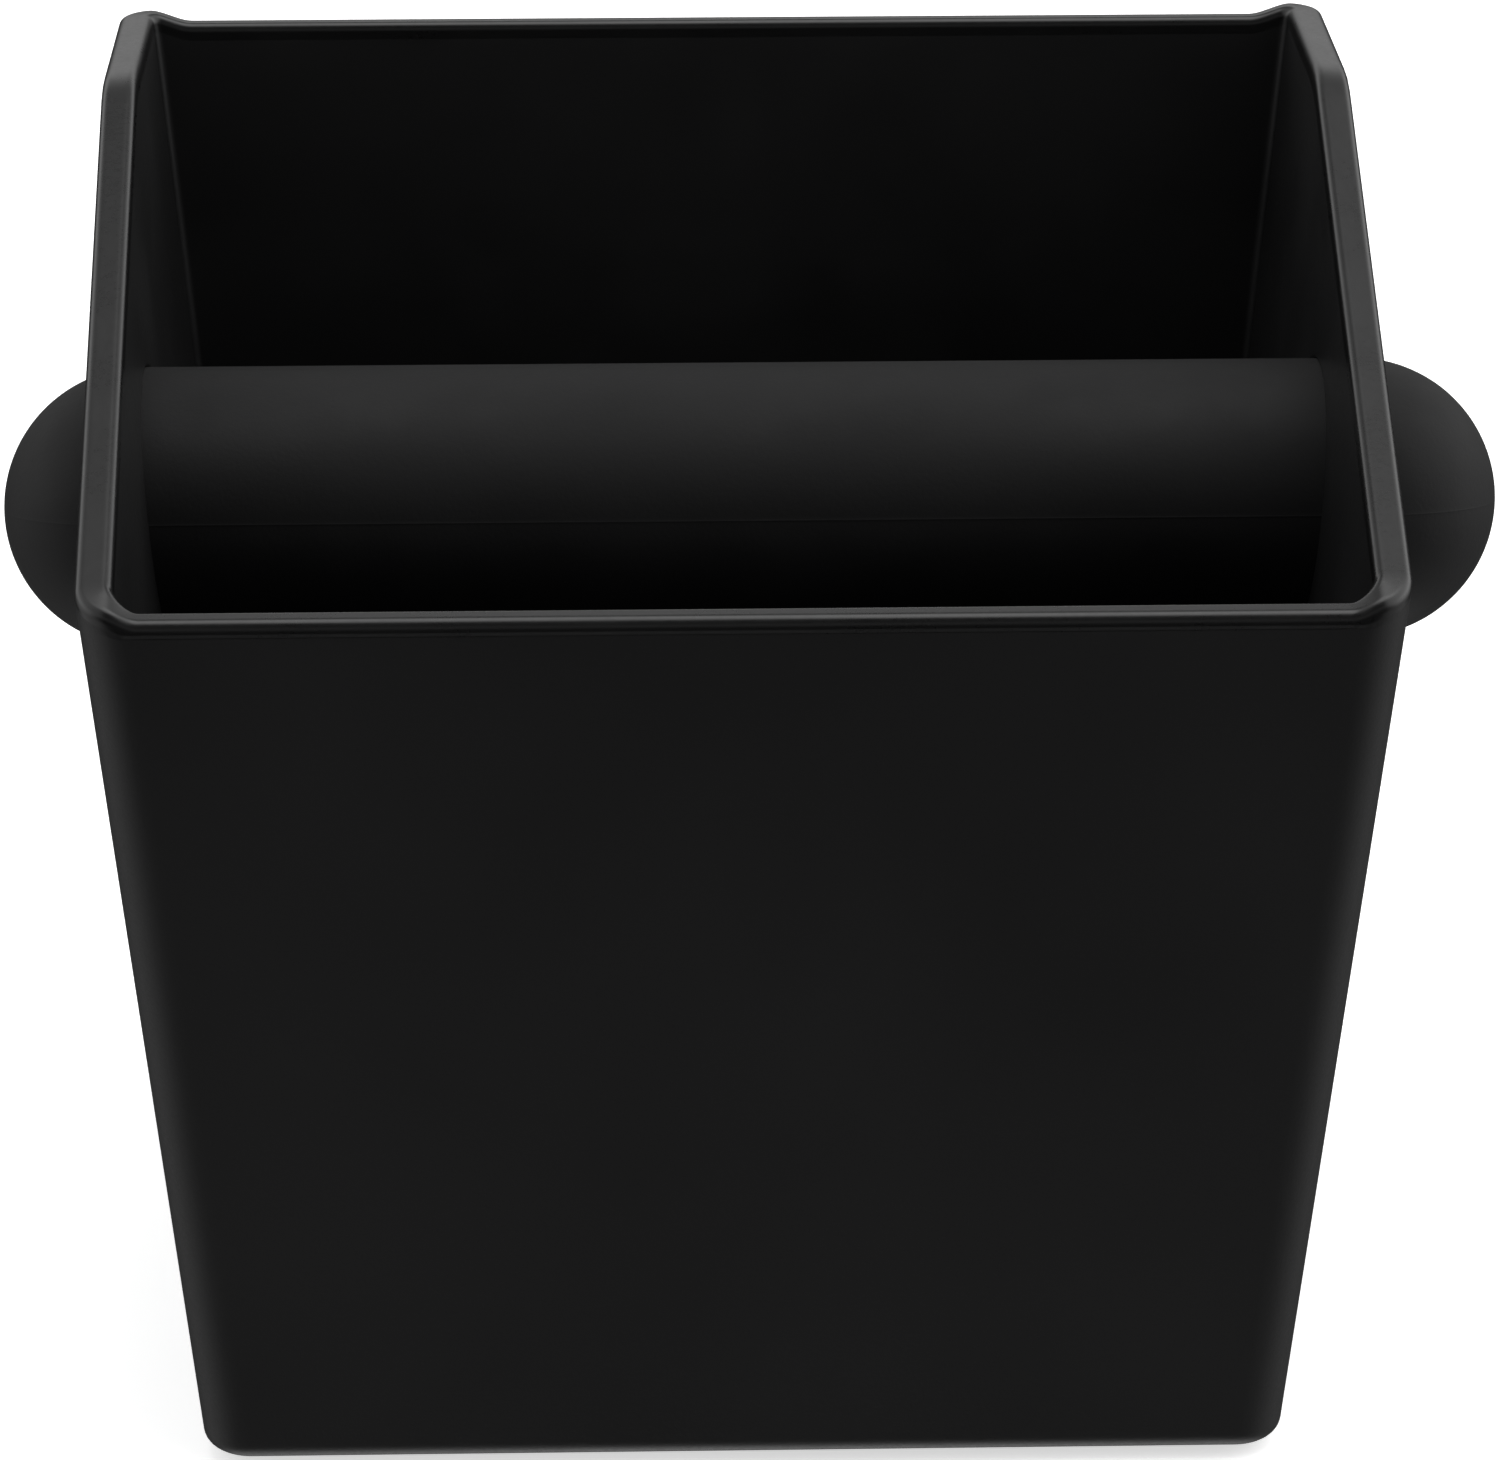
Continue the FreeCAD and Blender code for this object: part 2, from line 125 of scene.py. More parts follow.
def half_depth(z):
    """Outside half depth of the tub at a height."""
    return -shell_low.y + (z - FRONT_LEVEL + LIP_DEPTH) * LEAN


LIP_Y = -half_depth(FRONT_LEVEL - LIP_DEPTH)  # face of the upright band along the top of the front wall


def smooth(share):
    share = min(max(share, 0.0), 1.0)
    return share * share * (3 - 2 * share)


# ---------------------------------------------------------------- the tub's mesh
#
# The tub is a grid. Its columns are stations round the outline. Its rows run from the middle of the underside
# up the outside, over the rim and down the inside to the middle of the floor.

FRONT, SIDE, BACK, CORNER_ARC = "front", "side", "back", "corner"
OUTSIDE, RIM, INSIDE = 0, 1, 2  # the shell's material slots
HELD = 0.45  # share of a side's stations that stays beside the bar's hole at every height
ROWS_BELOW, ROWS_BESIDE, ROWS_ABOVE = 12, 24, 6  # rows of a wall below, beside and above that hole
ROUND_STEPS = 8  # steps of the rounding between a wall and a level face
WALL_START = 0.3  # a wall's first row stands this far above its rounding
LEVEL_RINGS = (0.3, 0.6, 0.85, 0.97)  # rings of the underside and the floor, as shares of the way out
SETTLE_ROUNDS = 5  # a rim point's height and place depend on each other, so both are found in rounds


class Station:
    """One place on the outline. along runs from -1 to 1 on a straight side; turn is the angle in a corner."""

    def __init__(self, kind, side_x, side_y, along=0.0, turn=0.0):
        self.kind = kind
        self.side_x = side_x
        self.side_y = side_y
        self.along = along
        self.turn = turn

    def outline(self, half_x, half_y, front_radius, rear_radius):
        """The station's point on a rounded rectangle."""
        radius = rear_radius if self.side_y > 0 else front_radius
        if self.kind == SIDE:
            radius = rear_radius if self.along > 0 else front_radius
        inner_x, inner_y = half_x - radius, half_y - radius
        if self.kind == SIDE:
            return self.side_x * half_x, self.beside_hole(inner_y)
        if self.kind in (FRONT, BACK):
            return self.along * inner_x, self.side_y * half_y
        x = self.side_x * (inner_x + radius * math.cos(self.turn))
        y = self.side_y * (inner_y + radius * math.sin(self.turn))
        return x, y

    def beside_hole(self, reach):
        """Y on a side wall: the stations beside the hole keep their Y at every height."""
        share = abs(self.along)
        if share <= HELD:
            return self.along / HELD * PATCH
        y = PATCH + (share - HELD) / (1 - HELD) * (reach - PATCH)
        return math.copysign(y, self.along)

    def frontness(self, x):
        """0 on the side and back rims, 1 on the level front rim."""
        if self.side_y > 0 or self.kind == SIDE:
            return 0.0
        round_corner = 1.0 if self.kind == FRONT else smooth(self.turn / RAMP_CORNER)
        return round_corner * smooth((RAMP_TOP - abs(x)) / (RAMP_TOP - RAMP_FOOT))

    def level(self, x, y):
        """Height of the rim's middle line."""
        run = LEVEL_END - y
        if run <= -BEND_HALF:
            fallen = 0.0
        elif run < BEND_HALF:
            fallen = (run + BEND_HALF) ** 2 / (4 * BEND_HALF)
        else:
            fallen = run
        side_level = REAR_LEVEL - fallen * FALL
        if y > LEVEL_END:
            side_level -= BACK_DROP * smooth((DROP_START - abs(x)) / (DROP_START - DROP_STOP))
        return side_level + (FRONT_LEVEL - side_level) * self.frontness(x)


def end_places():
    """Places from -1 to 1 along the front or the back, close together at the ramps near both ends."""
    close, wide, reach = 36, 40, 0.13
    near = [1 - reach + reach * index / close for index in range(close + 1)]
    middle = [(1 - reach) * (2 * index / wide - 1) for index in range(1, wide)]
    return [-place for place in reversed(near)] + middle + near


def make_stations():
    """Every station in order, anticlockwise seen from above, from the front left corner's end."""
    stations = []
    beside_count, hole_count, corner_count = 14, 24, 32

    def straight(kind, side_x, side_y, places):
        stations.extend(Station(kind, side_x, side_y, along=place) for place in places)

    def corner(side_x, side_y, count, rising):
        angles = [math.pi / 2 * index / count for index in range(count + 1)]
        if not rising:
            angles.reverse()
        stations.extend(Station(CORNER_ARC, side_x, side_y, turn=angle) for angle in angles[:-1])

    outer = [HELD + (1 - HELD) * index / beside_count for index in range(beside_count + 1)]
    inner = [-HELD + 2 * HELD * index / hole_count for index in range(hole_count + 1)]
    rising = [-place for place in reversed(outer)] + inner[1:-1] + outer
    straight(FRONT, 1, -1, end_places()[:-1])
    corner(1, -1, corner_count, rising=False)
    straight(SIDE, 1, 1, rising[:-1])
    corner(1, 1, corner_count, rising=True)
    straight(BACK, 1, 1, [-place for place in end_places()[:-1]])
    corner(-1, 1, corner_count, rising=False)
    straight(SIDE, -1, 1, [-place for place in rising[:-1]])
    corner(-1, -1, corner_count, rising=True)
    return stations


def wall_point(station, z, depth):
    """A point between the outside face (depth 0) and the inside face (depth 1) of the wall at a height."""
    wide, deep = half_width(z), half_depth(z)
    outer_x, outer_y = station.outline(wide, deep, FRONT_CORNER, REAR_CORNER)
    inner = wide - SIDE_WALL, deep - END_WALL, FRONT_INNER_CORNER, REAR_INNER_CORNER
    inner_x, inner_y = station.outline(*inner)
    x, y = outer_x + (inner_x - outer_x) * depth, outer_y + (inner_y - outer_y) * depth
    return x, max(y, LIP_Y), z


def crest_height(station):
    """Height of the rim's middle line at a station."""
    z = FRONT_LEVEL
    for _ in range(SETTLE_ROUNDS):
        z = station.level(*wall_point(station, z, 0.5)[:2])
    return z


def rim_point(station, depth, below):
    """A point of the rim's cross-section: depth across the wall in mm, below its crest in mm."""
    z = crest_height(station)
    frontness = station.frontness(wall_point(station, z, 0.5)[0])
    for _ in range(SETTLE_ROUNDS):
        outer, inner = wall_point(station, z, 0.0), wall_point(station, z, 1.0)
        thick = math.dist(outer[:2], inner[:2])
        lip = z - (FRONT_LEVEL - LIP_DEPTH)
        inset = 0.0
        if lip > 0:
            inset = (min(lip, LEDGE) + lip * LEAN) * frontness * max(0, 1 - depth / thick)
        share = (depth + inset) / thick
        x, y, _ = wall_point(station, z, share)
        z = station.level(x, y) - below + (share - 0.5) * thick * LEAN
    return x, y, z


def rim_section(station):
    """(depth, below) pairs from the outside wall over the crest to the inside wall."""
    crest = crest_height(station)
    front = station.frontness(wall_point(station, crest, 0.5)[0])
    outer_round = RIM_ROUND + (FRONT_OUTER_ROUND - RIM_ROUND) * front
    inner_round = RIM_ROUND + (FRONT_INNER_ROUND - RIM_ROUND) * front
    outer, inner = wall_point(station, crest, 0.0), wall_point(station, crest, 1.0)
    thick = math.dist(outer[:2], inner[:2])
    steps = 9
    section = [(0.0, LIP_DEPTH + row) for row in LEDGE_ROWS]
    section.append((0.0, outer_round + HOLD))
    for index in range(steps + 1):
        angle = math.pi / 2 * index / steps
        section.append((outer_round * (1 - math.cos(angle)), outer_round * (1 - math.sin(angle))))
    for share in (0.12, 0.5, 0.88):
        section.append((outer_round + (thick - outer_round - inner_round) * share, 0.0))
    for index in range(steps + 1):
        angle = math.pi / 2 * (1 - index / steps)
        section.append((thick - inner_round * (1 - math.cos(angle)), inner_round * (1 - math.sin(angle))))
    section += [(thick, inner_round + HOLD), (thick, LIP_DEPTH + LEDGE_ROWS[0])]
    return section


def wall_heights(start, top):
    """Heights up a wall from start to top, with a band of even rows beside the bar's hole."""
    low = BAR_LEVEL - PATCH
    full_top = REAR_LEVEL - (LEVEL_END + PATCH) * FALL - LIP_DEPTH - 2
    high = low + 2 * PATCH * min(1.0, (top - low) / (full_top - low))
    heights = [start + (low - start) * index / ROWS_BELOW for index in range(ROWS_BELOW)]
    heights += [low + (high - low) * index / ROWS_BESIDE for index in range(ROWS_BESIDE)]
    heights += [high + (top - high) * index / ROWS_ABOVE for index in range(ROWS_ABOVE)]
    return heights


def rounded_foot(station, inset_x, inset_y, corners, level, radius):
    """Points of the rounding between a wall and a level face below it, from the level face up."""
    centre = level + radius
    reach = radius / math.cos(math.atan(LEAN))
    points = []
    for index in range(ROUND_STEPS + 1):
        angle = -math.pi / 2 + (math.pi / 2 - math.atan(LEAN)) * index / ROUND_STEPS
        inset = reach - radius * math.cos(angle)
        wide, deep = half_width(centre) - inset_x - inset, half_depth(centre) - inset_y - inset
        x, y = station.outline(wide, deep, corners[0] - inset, corners[1] - inset)
        points.append((x, y, centre + radius * math.sin(angle)))
    return points


def shell_column(station):
    """The column's points and the row numbers at which the outside wall, rim, inside wall and floor start."""
    outer_corners, inner_corners = (FRONT_CORNER, REAR_CORNER), (FRONT_INNER_CORNER, REAR_INNER_CORNER)
    outer_foot = rounded_foot(station, 0, 0, outer_corners, UNDERSIDE, UNDERSIDE_ROUND)
    inner_foot = rounded_foot(station, SIDE_WALL, END_WALL, inner_corners, FLOOR_LEVEL, FLOOR_ROUND)
    rim = [rim_point(station, depth, below) for depth, below in rim_section(station)]
    underside = [(outer_foot[0][0] * share, outer_foot[0][1] * share, UNDERSIDE) for share in LEVEL_RINGS]
    floor = [(inner_foot[0][0] * share, inner_foot[0][1] * share, FLOOR_LEVEL) for share in LEVEL_RINGS]
    outside = [wall_point(station, z, 0.0) for z in wall_heights(outer_foot[-1][2] + WALL_START, rim[0][2])]
    inside = [wall_point(station, z, 1.0) for z in wall_heights(inner_foot[-1][2] + WALL_START, rim[-1][2])]
    column = underside + outer_foot
    starts = {"outside": len(column)}
    column += outside
    starts["rim"] = len(column)
    column += rim
    starts["inside"] = len(column)
    column += list(reversed(inside)) + list(reversed(inner_foot)) + list(reversed(floor))
    return column, starts


def fill_ring(mesh, loop, middle, material):
    """Close a ring of vertices with a fan round a point in the middle."""
    centre = mesh.verts.new(middle)
    for index, vertex in enumerate(loop):
        face = mesh.faces.new((vertex, loop[(index + 1) % len(loop)], centre))
        face.material_index = material


def bridge(mesh, first, second, material):
    """Quads between two closed rings of as many vertices."""
    count = len(first)
    for index in range(count):
        after = (index + 1) % count
        face = mesh.faces.new((first[index], first[after], second[after], second[index]))
        face.material_index = material


def cut_hole(mesh, grid, columns, starts, side):
    """Replace the square of wall round the bar's hole, on both faces, by rings that end in the hole's wall."""
    outside_low = starts["outside"] + ROWS_BELOW
    inside_low = len(grid[0]) - len(LEVEL_RINGS) - (ROUND_STEPS + 1) - 1 - ROWS_BELOW
    row_sets = (
        [outside_low + index for index in range(ROWS_BESIDE + 1)],
        [inside_low - index for index in range(ROWS_BESIDE + 1)],
    )
    loops = []
    for row_set in row_sets:
        low, high = row_set[0], row_set[-1]
        ring = [grid[column][low] for column in columns]
        ring += [grid[columns[-1]][row] for row in row_set[1:]]
        ring += [grid[column][high] for column in reversed(columns[:-1])]
        ring += [grid[columns[0]][row] for row in reversed(row_set[1:-1])]
        inner = {grid[column][row] for column in columns[1:-1] for row in row_set[1:-1]}
        bmesh.ops.delete(mesh, geom=list(inner), context="VERTS")
        loops.append(ring)
    last_rings = []
    for ring, wall in zip(loops, (0.0, SIDE_WALL)):
        inward = 1 if wall == 0.0 else -1
        angles = [math.atan2(vertex.co.z / MM - BAR_LEVEL, vertex.co.y / MM) for vertex in ring]
        previous = ring
        hole_rings = [(HOLE_RADIUS + gap, 0.0) for gap in HOLE_SUPPORTS]
        for index in range(HOLE_STEPS + 1):
            turn = math.pi / 2 * index / HOLE_STEPS
            wider, sunk = HOLE_EDGE * (1 - math.sin(turn)), HOLE_EDGE * (1 - math.cos(turn))
            hole_rings.append((HOLE_RADIUS + wider, sunk))
        for radius, sunk in hole_rings:
            current = []
            for angle in angles:
                y, z = radius * math.cos(angle), BAR_LEVEL + radius * math.sin(angle)
                x = half_width(z) - wall - inward * sunk
                current.append(mesh.verts.new(Vector((side * x, y, z)) * MM))
            bridge(mesh, previous, current, OUTSIDE if wall == 0.0 else INSIDE)
            previous = current
        last_rings.append(previous)
    bridge(mesh, last_rings[0], last_rings[1], INSIDE)


def make_shell():
    stations = make_stations()
    mesh = bmesh.new()
    grid = []
    for station in stations:
        column, starts = shell_column(station)
        grid.append([mesh.verts.new(Vector(point) * MM) for point in column])
    count, rows = len(grid), len(grid[0])
    ledge_row = starts["rim"] + LEDGE_ROWS.index(0.0)
    for index in range(count):
        left, right = grid[index], grid[(index + 1) % count]
        for row in range(rows - 1):
            face = mesh.faces.new((left[row], right[row], right[row + 1], left[row + 1]))
            face.material_index = OUTSIDE if row < ledge_row else RIM if row < starts["inside"] - 1 else INSIDE
    fill_ring(mesh, [column[0] for column in grid], Vector((0, 0, UNDERSIDE)) * MM, OUTSIDE)
    fill_ring(mesh, [column[-1] for column in grid], Vector((0, 0, FLOOR_LEVEL)) * MM, INSIDE)
    for side in (1, -1):
        columns = [
            index
            for index, station in enumerate(stations)
            if station.kind == SIDE and station.side_x == side and abs(station.along) <= HELD + 1e-6
        ]
        cut_hole(mesh, grid, columns, starts, side)
    bmesh.ops.recalc_face_normals(mesh, faces=mesh.faces)
    for face in mesh.faces:
        face.smooth = True
    data = bpy.data.meshes.new("bin_shell_skin")
    mesh.to_mesh(data)
    mesh.free()
    shell = bpy.data.objects.new("bin_shell_skin", data)
    bpy.context.scene.collection.objects.link(shell)
    return shell


def cut_foot_pockets(shell):
    """Sink the four round pockets that the feet sit in."""
    mesh = bmesh.new()
    depth = (POCKET_TOP - UNDERSIDE) * 2
    for x in (-FOOT_X, FOOT_X):
        for y in (-FOOT_Y, FOOT_Y):
            made = bmesh.ops.create_cone(
                mesh,
                cap_ends=True,
                segments=64,
                radius1=(FOOT_RADIUS + POCKET_GAP) * MM,
                radius2=(FOOT_RADIUS + POCKET_GAP) * MM,
                depth=depth * MM,
            )
            bmesh.ops.translate(mesh, verts=made["verts"], vec=Vector((x, y, UNDERSIDE)) * MM)
    data = bpy.data.meshes.new("pocket_cutter")
    mesh.to_mesh(data)
    mesh.free()
    cutter = bpy.data.objects.new("pocket_cutter", data)
    bpy.context.scene.collection.objects.link(cutter)
    cut = shell.modifiers.new("pockets", "BOOLEAN")
    cut.operation = "DIFFERENCE"
    cut.solver = "EXACT"
    cut.object = cutter
    bpy.context.view_layer.update()
    cut_mesh = bpy.data.meshes.new_from_object(shell.evaluated_get(bpy.context.evaluated_depsgraph_get()))
    shell.modifiers.clear()
    shell.data = cut_mesh
    cut_mesh.set_sharp_from_angle(angle=math.radians(50))
    bpy.data.objects.remove(cutter)


# ---------------------------------------------------------------- the bar's mesh


def bar_profile():
    """(x, radius) pairs along the bar from one dome's tip to the other's."""
    barrel = BAR_HALF - BAR_RADIUS
    dome_steps, barrel_steps = 36, 60
    left = []
    for index in range(1, dome_steps + 1):
        angle = math.pi / 2 * index / dome_steps
        left.append((-barrel - BAR_RADIUS * math.cos(angle), BAR_RADIUS * math.sin(angle)))
    middle = [(-barrel + 2 * barrel * index / barrel_steps, BAR_RADIUS) for index in range(1, barrel_steps)]
    right = [(-x, radius) for x, radius in reversed(left)]
    return left + middle + right


def bar_angles(radius):
    """Angles round one ring, with extra ones on both sides of the two parting lines."""
    plain = 40
    near = [offset * SEAM_WIDTH / radius for offset in (-3.0, -1.0, -0.45, 0.0, 0.45, 1.0, 3.0)]
    angles = []
    for start in (0.0, math.pi):
        angles += [(start + offset, abs(index - 3) / 3) for index, offset in enumerate(near)]
        first, last = start + near[-1], start + math.pi + near[0]
        angles += [(first + (last - first) * index / plain, 1.0) for index in range(1, plain)]
    return angles


def make_bar():
    """A barrel with a half-round dome at each end and a fine moulded ridge along its parting plane."""
    mesh = bmesh.new()
    rings = []
    for x, radius in bar_profile():
        ring = []
        for angle, away in bar_angles(max(radius, SEAM_LEAST_RADIUS)):
            ridge = SEAM_HEIGHT * max(0.0, 1 - away * 2) * smooth((radius - SEAM_START) / SEAM_RISE)
            turned = math.pi - angle - SEAM_TILT
            reach = radius + ridge
            y, z = reach * math.cos(turned), BAR_LEVEL + reach * math.sin(turned)
            ring.append(mesh.verts.new(Vector((BAR_MIDDLE + x, y, z)) * MM))
        rings.append(ring)
    for first, second in zip(rings, rings[1:]):
        bridge(mesh, first, second, 0)
    fill_ring(mesh, rings[0], Vector((BAR_MIDDLE - BAR_HALF, 0, BAR_LEVEL)) * MM, 0)
    fill_ring(mesh, rings[-1], Vector((BAR_MIDDLE + BAR_HALF, 0, BAR_LEVEL)) * MM, 0)
    bmesh.ops.recalc_face_normals(mesh, faces=mesh.faces)
    for face in mesh.faces:
        face.smooth = True
    data = bpy.data.meshes.new("knock_bar_rubber")
    mesh.to_mesh(data)
    mesh.free()
    bar = bpy.data.objects.new("knock_bar_rubber", data)
    bpy.context.scene.collection.objects.link(bar)
    return bar


# ---------------------------------------------------------------- materials


class Nodes:
    """A new material and short ways to add and join its nodes."""

    def __init__(self, name):
        self.material = bpy.data.materials.new(name)
        self.material.use_nodes = True
        self.tree = self.material.node_tree
        self.surface = self.tree.nodes["Principled BSDF"]
        self.place = self.add("ShaderNodeTexCoord").outputs["Object"]

    def add(self, kind):
        return self.tree.nodes.new(kind)

    def join(self, output, socket):
        self.tree.links.new(output, socket)

    def noise(self, scale, detail=2.0, rough=0.5, stretch=None):
        texture = self.add("ShaderNodeTexNoise")
        texture.inputs["Scale"].default_value = scale
        texture.inputs["Detail"].default_value = detail
        texture.inputs["Roughness"].default_value = rough
        place = self.place
        if stretch is not None:
            mapping = self.add("ShaderNodeMapping")
            mapping.inputs["Scale"].default_value = stretch
            self.join(place, mapping.inputs["Vector"])
            place = mapping.outputs["Vector"]
        self.join(place, texture.inputs["Vector"])
        return texture.outputs["Fac"]

    def between(self, fac, from_low, from_high, low, high):
        """fac's stretch from_low..from_high spread over low..high."""
        remap = self.add("ShaderNodeMapRange")
        remap.inputs["From Min"].default_value = from_low
        remap.inputs["From Max"].default_value = from_high
        remap.inputs["To Min"].default_value = low
        remap.inputs["To Max"].default_value = high
        self.join(fac, remap.inputs["Value"])
        return remap.outputs["Result"]

    def total(self, first, second):
        maths = self.add("ShaderNodeMath")
        maths.operation = "ADD"
        self.join(first, maths.inputs[0])
        self.join(second, maths.inputs[1])
        return maths.outputs[0]

    def colour(self, fac, dark, light):
        ramp = self.add("ShaderNodeValToRGB")
        ramp.color_ramp.elements[0].color = (*dark, 1)
        ramp.color_ramp.elements[1].color = (*light, 1)
        self.join(fac, ramp.inputs["Fac"])
        self.join(ramp.outputs["Color"], self.surface.inputs["Base Color"])

    def roughness(self, output):
        self.join(output, self.surface.inputs["Roughness"])

    def bump(self, height, distance, strength):
        bump = self.add("ShaderNodeBump")
        bump.inputs["Strength"].default_value = strength
        bump.inputs["Distance"].default_value = distance
        self.join(height, bump.inputs["Height"])
        self.join(bump.outputs["Normal"], self.surface.inputs["Normal"])


def grained_plastic():
    """The tub's outside: black ABS from a finely spark-eroded mould, satin and even."""
    nodes = Nodes("abs_fine_grain")
    grain = nodes.noise(2600, detail=3, rough=0.6)
    cloud = nodes.noise(28, detail=4)
    nodes.colour(cloud, (0.0022, 0.0022, 0.0023), (0.0034, 0.0034, 0.0036))
    fine, broad = nodes.between(grain, 0.3, 0.7, 0.44, 0.52), nodes.between(cloud, 0.3, 0.7, 0, 0.05)
    nodes.roughness(nodes.total(fine, broad))
    nodes.bump(grain, 0.00003, 0.7)
    nodes.surface.inputs["IOR"].default_value = 1.5
    return nodes.material


def smooth_plastic(name, black, low, high):
    """Polished-mould ABS, smoother, with faint handling marks in its gloss; black is its base colour, set
    lighter for the inside as painted light.
    """
    nodes = Nodes(name)
    flow = nodes.noise(60, detail=5, rough=0.6)
    fine = nodes.noise(1500, detail=2)
    nodes.colour(flow, (black * 0.85, black * 0.85, black * 0.88), (black * 1.15, black * 1.15, black * 1.18))
    marks, speckle = nodes.between(flow, 0.3, 0.7, low, high), nodes.between(fine, 0.3, 0.7, 0, 0.04)
    nodes.roughness(nodes.total(marks, speckle))
    nodes.bump(fine, 0.00001, 0.4)
    nodes.surface.inputs["IOR"].default_value = 1.5
    return nodes.material


def rubber(name, dark, light):
    """Matte black rubber with a faint, patchy bloom."""
    nodes = Nodes(name)
    patches = nodes.noise(55, detail=6, rough=0.62)
    fine = nodes.noise(1900, detail=3, rough=0.6)
    nodes.colour(nodes.between(patches, 0.35, 0.75, 0, 1), dark, light)
    nodes.roughness(nodes.between(patches, 0.3, 0.7, 0.58, 0.74))
    nodes.bump(fine, 0.00004, 0.6)
    nodes.surface.inputs["IOR"].default_value = 1.5
    nodes.surface.inputs["Specular IOR Level"].default_value = 0.25
    return nodes.material


def drawn_steel():
    """The rod inside the rubber: cold-drawn steel with fine lines along its length."""
    nodes = Nodes("drawn_steel")
    lines = nodes.noise(900, detail=3, stretch=(0.03, 1, 1))
    nodes.colour(lines, (0.42, 0.42, 0.43), (0.62, 0.62, 0.63))
    nodes.roughness(nodes.between(lines, 0.3, 0.7, 0.22, 0.38))
    nodes.bump(lines, 0.00002, 0.5)
    nodes.surface.inputs["Metallic"].default_value = 1.0
    return nodes.material


def paint(node, material):
    """Give a CAD node one material."""
    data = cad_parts[node].data
    data.materials.clear()
    data.materials.append(material)


# ---------------------------------------------------------------- the set: floor, light and camera


def make_floor():
    mesh = bmesh.new()
    bmesh.ops.create_circle(mesh, cap_ends=True, segments=96, radius=6.0)
    data = bpy.data.meshes.new("studio_floor")
    mesh.to_mesh(data)
    mesh.free()
    floor = bpy.data.objects.new("studio_floor", data)
    bpy.context.scene.collection.objects.link(floor)
    nodes = Nodes("studio_floor")
    shade = nodes.noise(3, detail=2)
    nodes.colour(shade, (0.90, 0.90, 0.90), (0.92, 0.92, 0.92))
    nodes.surface.inputs["Roughness"].default_value = 0.9
    nodes.surface.inputs["Specular IOR Level"].default_value = 0.0
    nodes.surface.inputs["Emission Color"].default_value = (1, 1, 1, 1)
    nodes.surface.inputs["Emission Strength"].default_value = 0.6
    data.materials.append(nodes.material)
    floor.visible_glossy = False


# Soft lights on the sky: direction, cosines at which each one starts and is full, and its strength.
SOFT_LIGHTS = (
    ((0.06, 0.12, 0.99), 0.86, 0.985, 2.6),  # the box overhead, a little behind the object
    ((0.85, 0.05, 0.52), 0.60, 0.95, 1.45),  # right
    ((-0.85, 0.05, 0.52), 0.60, 0.95, 0.7),  # left
    ((0.92, 0.0, -0.38), 0.70, 0.95, 0.38),  # light off the table, right
    ((-0.92, 0.0, -0.38), 0.70, 0.95, 0.50),  # and left
    ((0.0, 0.0, -1.0), 0.82, 0.95, 1.7),  # and from below
)
# The backdrop: elevation in degrees and the light that comes from there.
BACKDROP = ((-90, 0.02), (2, 0.03), (8, 0.35), (14, 1.0), (25, 1.0), (34, 0.30), (50, 0.28), (90, 0.15))
FRONT_SHARE = 0.25  # how much of the backdrop's light comes from the camera's side


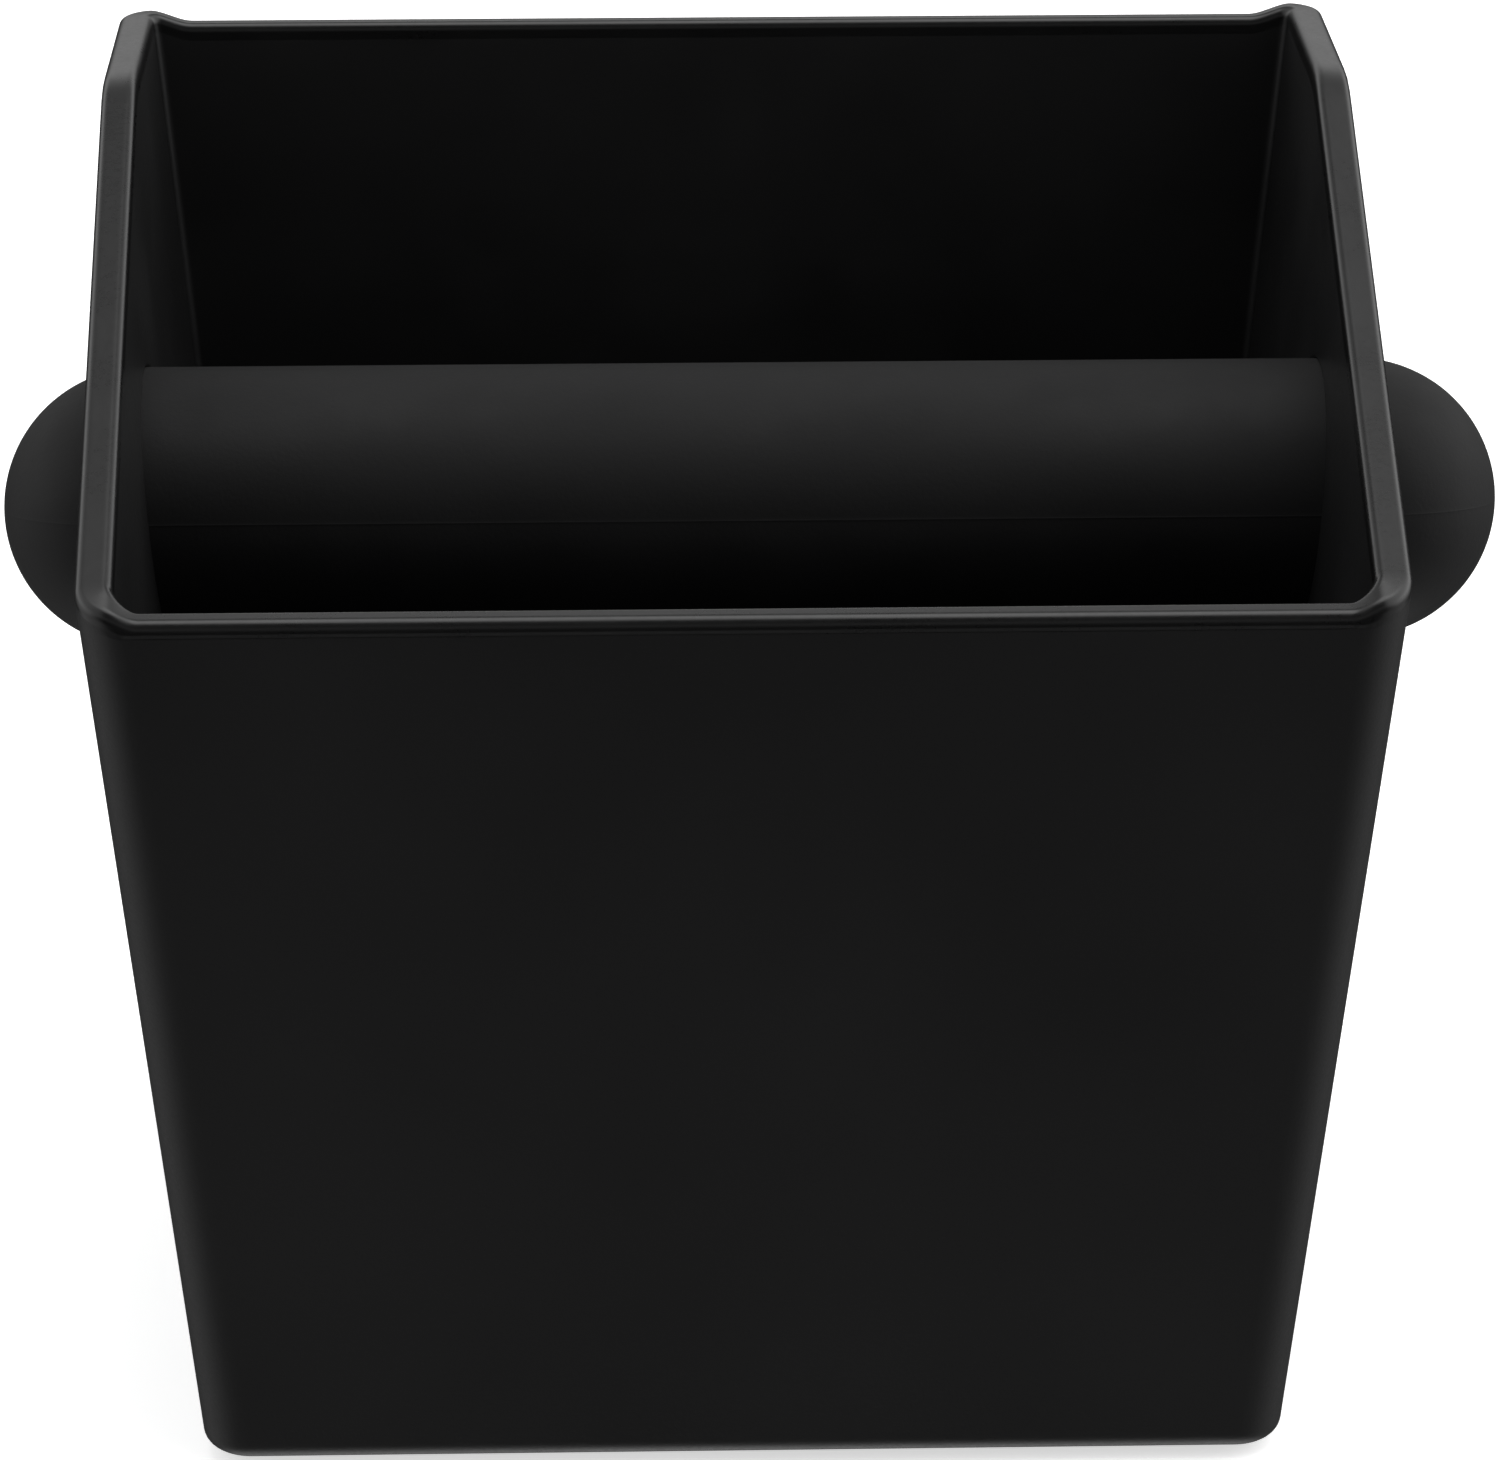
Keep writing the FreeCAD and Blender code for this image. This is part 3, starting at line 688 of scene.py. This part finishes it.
def make_sky():
    """Soft studio light: a bright backdrop behind, a large soft box overhead, one at each side, a dim front."""
    world = bpy.data.worlds.new("studio")
    bpy.context.scene.world = world
    world.use_nodes = True
    tree = world.node_tree
    direction = tree.nodes.new("ShaderNodeTexCoord").outputs["Generated"]

    def ranged(value, settings, shape="SMOOTHSTEP"):
        remap = tree.nodes.new("ShaderNodeMapRange")
        remap.interpolation_type = shape
        for socket, number in zip(("From Min", "From Max", "To Min", "To Max"), settings):
            remap.inputs[socket].default_value = number
        tree.links.new(value, remap.inputs["Value"])
        return remap.outputs["Result"]

    def combined(operation, first, second):
        maths = tree.nodes.new("ShaderNodeMath")
        maths.operation = operation
        tree.links.new(first, maths.inputs[0])
        tree.links.new(second, maths.inputs[1])
        return maths.outputs[0]

    split = tree.nodes.new("ShaderNodeSeparateXYZ")
    tree.links.new(direction, split.inputs[0])
    ramp = tree.nodes.new("ShaderNodeValToRGB")
    tree.links.new(ranged(split.outputs["Z"], (-1, 1, 0, 1), "LINEAR"), ramp.inputs["Fac"])
    elements = ramp.color_ramp.elements
    while len(elements) < len(BACKDROP):
        elements.new(0.5)
    for element, (elevation, light) in zip(elements, BACKDROP):
        element.position = (math.sin(math.radians(elevation)) + 1) / 2
        element.color = (light, light, light, 1)
    dimming = ranged(split.outputs["Y"], (-0.4, 0.3, FRONT_SHARE, 1.0))
    total = combined("MULTIPLY", ramp.outputs["Color"], dimming)
    for towards, starts, full, strength in SOFT_LIGHTS:
        product = tree.nodes.new("ShaderNodeVectorMath")
        product.operation = "DOT_PRODUCT"
        product.inputs[1].default_value = Vector(towards).normalized()
        tree.links.new(direction, product.inputs[0])
        total = combined("ADD", total, ranged(product.outputs["Value"], (starts, full, 0.0, strength)))
    background = tree.nodes["Background"]
    background.inputs["Color"].default_value = (1, 1, 1, 1)
    tree.links.new(total, background.inputs["Strength"])
    white = tree.nodes.new("ShaderNodeBackground")
    white.inputs["Color"].default_value = (1, 1, 1, 1)
    path = tree.nodes.new("ShaderNodeLightPath")
    mix = tree.nodes.new("ShaderNodeMixShader")
    tree.links.new(path.outputs["Is Camera Ray"], mix.inputs["Fac"])
    tree.links.new(background.outputs[0], mix.inputs[1])
    tree.links.new(white.outputs[0], mix.inputs[2])
    tree.links.new(mix.outputs[0], tree.nodes["World Output"].inputs["Surface"])


def make_camera():
    """The camera stands in front, a touch to the left, looking 22 degrees down with a long lens."""
    target = Vector((1.857, 0, 65.6)) * MM
    distance = 675.0 * MM
    azimuth, elevation = math.radians(-1.402), math.radians(22.061)
    away = Vector((
        math.sin(azimuth) * math.cos(elevation),
        -math.cos(azimuth) * math.cos(elevation),
        math.sin(elevation),
    ))
    data = bpy.data.cameras.new("camera")
    data.lens = 144.0
    data.sensor_width = 36.0
    data.clip_start = 0.01
    data.clip_end = 100.0
    camera = bpy.data.objects.new("camera", data)
    camera.location = target + away * distance
    camera.rotation_euler = (-away).to_track_quat("-Z", "Y").to_euler()
    bpy.context.scene.collection.objects.link(camera)
    bpy.context.scene.camera = camera


# ---------------------------------------------------------------- putting it together

plastic_slots = (
    grained_plastic(),
    smooth_plastic("abs_rim", 0.0035, 0.24, 0.31),
    # painted light: the inside's copy has about twice the black of the rim and outside, lifting the tub's
    # shaded inside
    smooth_plastic("abs_inside_painted_light", 0.0072, 0.30, 0.38),
)
bar_rubber = rubber("bar_rubber", (0.0042, 0.0042, 0.0044), (0.0078, 0.0078, 0.0081))
foot_rubber = rubber("foot_rubber", (0.012, 0.012, 0.012), (0.020, 0.020, 0.020))

shell = make_shell()
for material in plastic_slots:
    shell.data.materials.append(material)
cut_foot_pockets(shell)
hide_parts("bin_shell")
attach(shell, "tub")

bar = make_bar()
bar.data.materials.append(bar_rubber)
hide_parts("bar_sleeve")
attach(bar, "bar")

paint("bar_core", drawn_steel())
for foot in ("foot_front_left", "foot_front_right", "foot_rear_left", "foot_rear_right"):
    paint(foot, foot_rubber)

make_floor()
make_sky()
make_camera()
bpy.context.scene.view_settings.view_transform = "Standard"
